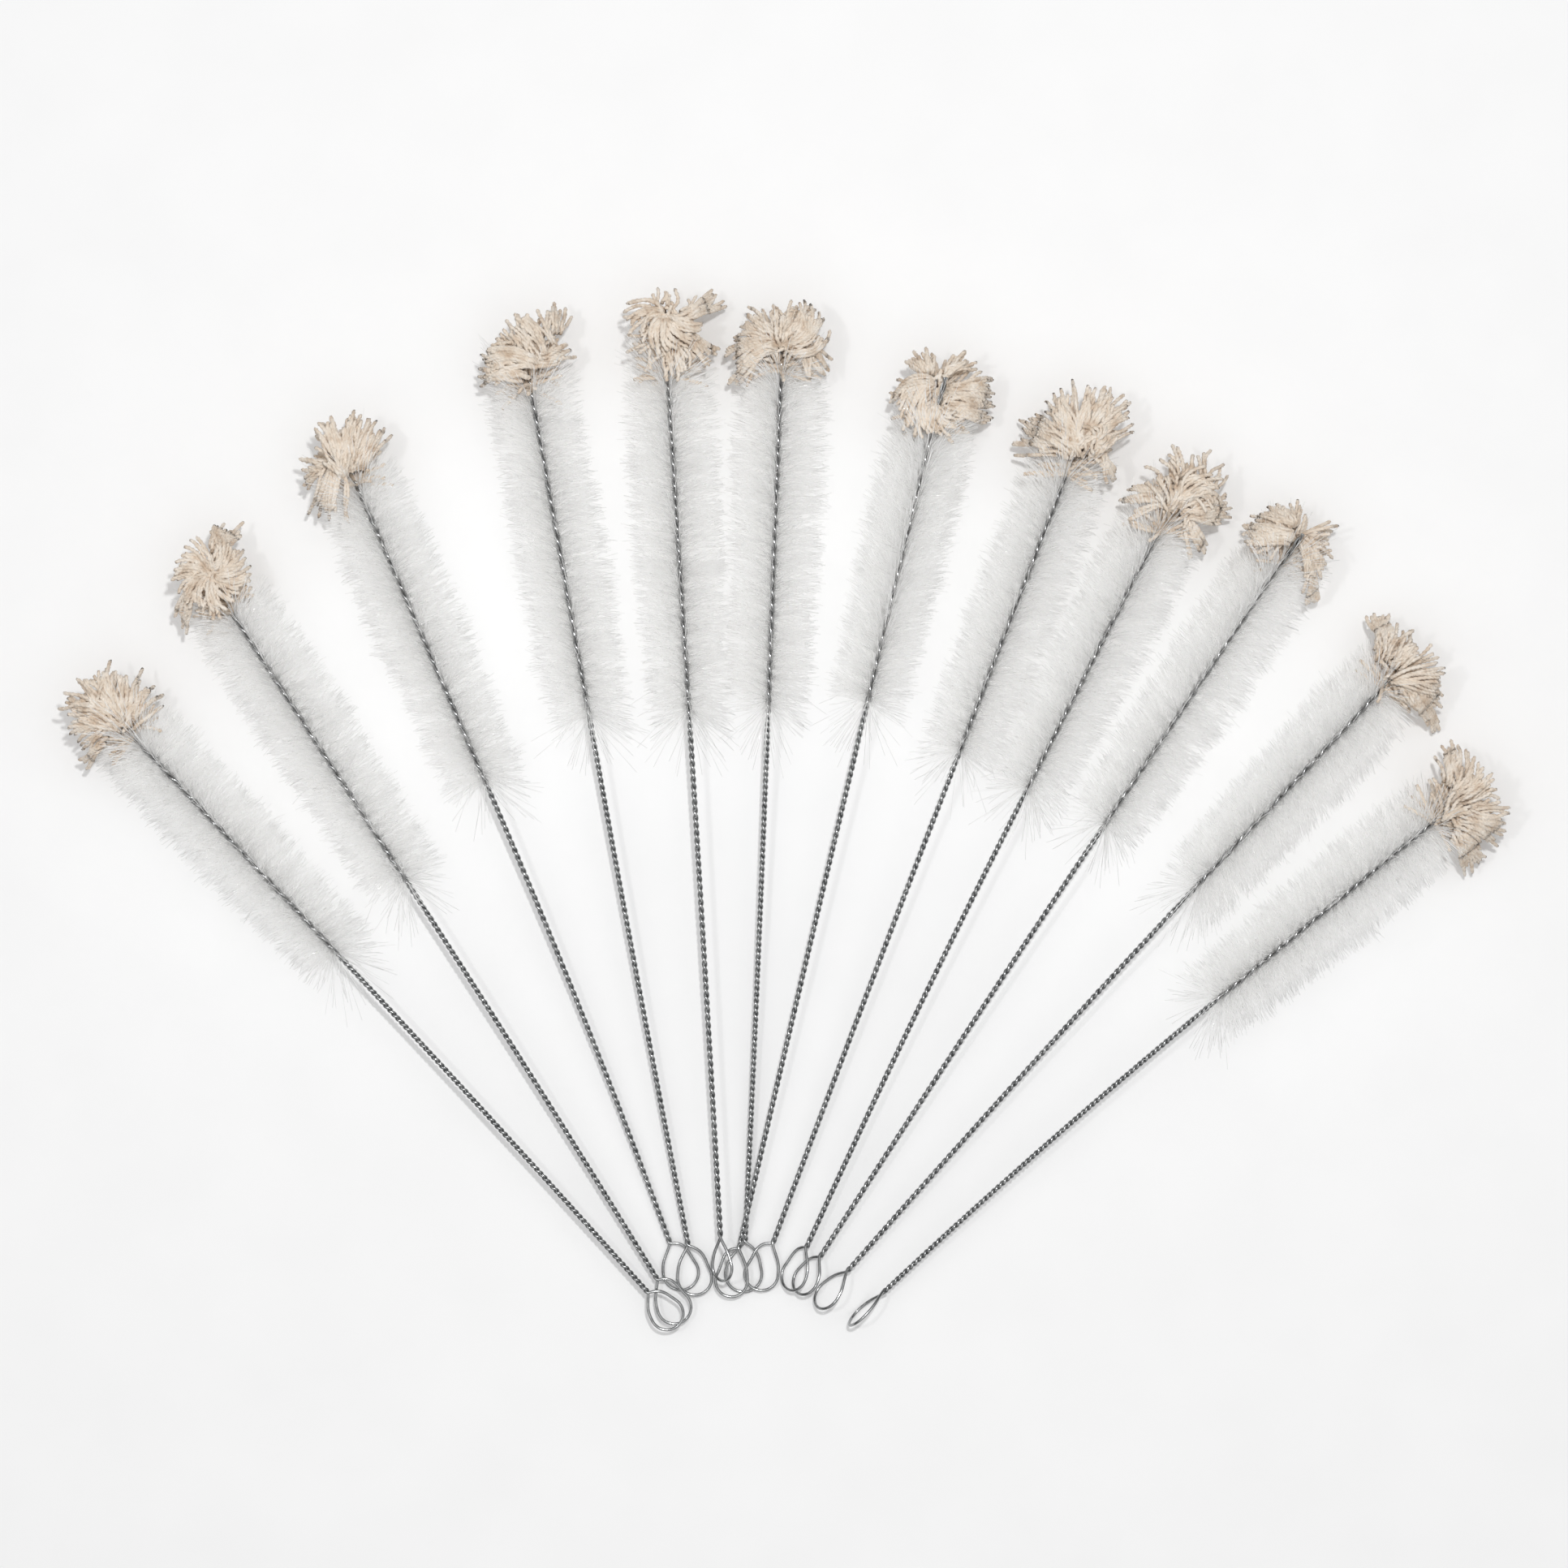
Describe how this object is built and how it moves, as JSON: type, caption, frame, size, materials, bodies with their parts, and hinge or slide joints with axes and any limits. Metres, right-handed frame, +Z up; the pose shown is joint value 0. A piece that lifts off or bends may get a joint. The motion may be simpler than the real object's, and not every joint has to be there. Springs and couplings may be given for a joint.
{
  "type": "twisted-wire cleaning brush set",
  "caption": "Set of loose twisted-wire cleaning brushes with white nylon bristle heads, cotton mop tips and wire hanging eyes, laid out as a fan.",
  "frame": {"origin": "centre of the fan's bounding box, on the surface that the brushes lie on", "axes": "+Z up, +Y from the wire eyes toward the cotton tips, +X to the right across the fan"},
  "size_m": [0.4657, 0.3346, 0.033],
  "materials": {
    "galvanised_wire": "dull galvanised steel with bright streaks",
    "nylon_bristles": "clear white nylon filament",
    "cotton_yarn": "unbleached two-ply cotton yarn, matte"
  },
  "bodies": {
    "brush_01": {"brush_01_wire": "galvanised_wire", "brush_01_bristles": "nylon_bristles", "brush_01_cotton_mop": "cotton_yarn"},
    "brush_02": {"brush_02_wire": "galvanised_wire", "brush_02_bristles": "nylon_bristles", "brush_02_cotton_mop": "cotton_yarn"},
    "brush_03": {"brush_03_wire": "galvanised_wire", "brush_03_bristles": "nylon_bristles", "brush_03_cotton_mop": "cotton_yarn"},
    "brush_04": {"brush_04_wire": "galvanised_wire", "brush_04_bristles": "nylon_bristles", "brush_04_cotton_mop": "cotton_yarn"},
    "brush_05": {"brush_05_wire": "galvanised_wire", "brush_05_bristles": "nylon_bristles", "brush_05_cotton_mop": "cotton_yarn"},
    "brush_06": {"brush_06_wire": "galvanised_wire", "brush_06_bristles": "nylon_bristles", "brush_06_cotton_mop": "cotton_yarn"},
    "brush_07": {"brush_07_wire": "galvanised_wire", "brush_07_bristles": "nylon_bristles", "brush_07_cotton_mop": "cotton_yarn"},
    "brush_08": {"brush_08_wire": "galvanised_wire", "brush_08_bristles": "nylon_bristles", "brush_08_cotton_mop": "cotton_yarn"},
    "brush_09": {"brush_09_wire": "galvanised_wire", "brush_09_bristles": "nylon_bristles", "brush_09_cotton_mop": "cotton_yarn"},
    "brush_10": {"brush_10_wire": "galvanised_wire", "brush_10_bristles": "nylon_bristles", "brush_10_cotton_mop": "cotton_yarn"},
    "brush_11": {"brush_11_wire": "galvanised_wire", "brush_11_bristles": "nylon_bristles", "brush_11_cotton_mop": "cotton_yarn"},
    "brush_12": {"brush_12_wire": "galvanised_wire", "brush_12_bristles": "nylon_bristles", "brush_12_cotton_mop": "cotton_yarn"}
  },
  "joints": [
    {"name": "brush_01_pull_out", "type": "slide", "parent": "brush_06", "child": "brush_01", "axis": [-0.6635, 0.7473, 0.0371], "range_m": [0, 0.06]},
    {"name": "brush_02_pull_out", "type": "slide", "parent": "brush_06", "child": "brush_02", "axis": [-0.5175, 0.8545, 0.0454], "range_m": [0, 0.06]},
    {"name": "brush_03_pull_out", "type": "slide", "parent": "brush_06", "child": "brush_03", "axis": [-0.3414, 0.938, 0.0602], "range_m": [0, 0.06]},
    {"name": "brush_04_pull_out", "type": "slide", "parent": "brush_06", "child": "brush_04", "axis": [-0.1906, 0.9805, 0.0485], "range_m": [0, 0.06]},
    {"name": "brush_05_pull_out", "type": "slide", "parent": "brush_06", "child": "brush_05", "axis": [-0.0558, 0.9982, 0.0219], "range_m": [0, 0.06]},
    {"name": "brush_07_pull_out", "type": "slide", "parent": "brush_06", "child": "brush_07", "axis": [0.2247, 0.9735, 0.0423], "range_m": [0, 0.06]},
    {"name": "brush_08_pull_out", "type": "slide", "parent": "brush_06", "child": "brush_08", "axis": [0.3481, 0.936, 0.0515], "range_m": [0, 0.06]},
    {"name": "brush_09_pull_out", "type": "slide", "parent": "brush_06", "child": "brush_09", "axis": [0.4111, 0.9105, 0.0449], "range_m": [0, 0.06]},
    {"name": "brush_10_pull_out", "type": "slide", "parent": "brush_06", "child": "brush_10", "axis": [0.5383, 0.8417, 0.0433], "range_m": [0, 0.06]},
    {"name": "brush_11_pull_out", "type": "slide", "parent": "brush_06", "child": "brush_11", "axis": [0.6555, 0.754, 0.0424], "range_m": [0, 0.06]},
    {"name": "brush_12_pull_out", "type": "slide", "parent": "brush_06", "child": "brush_12", "axis": [0.7259, 0.6865, 0.042], "range_m": [0, 0.06]}
  ]
}
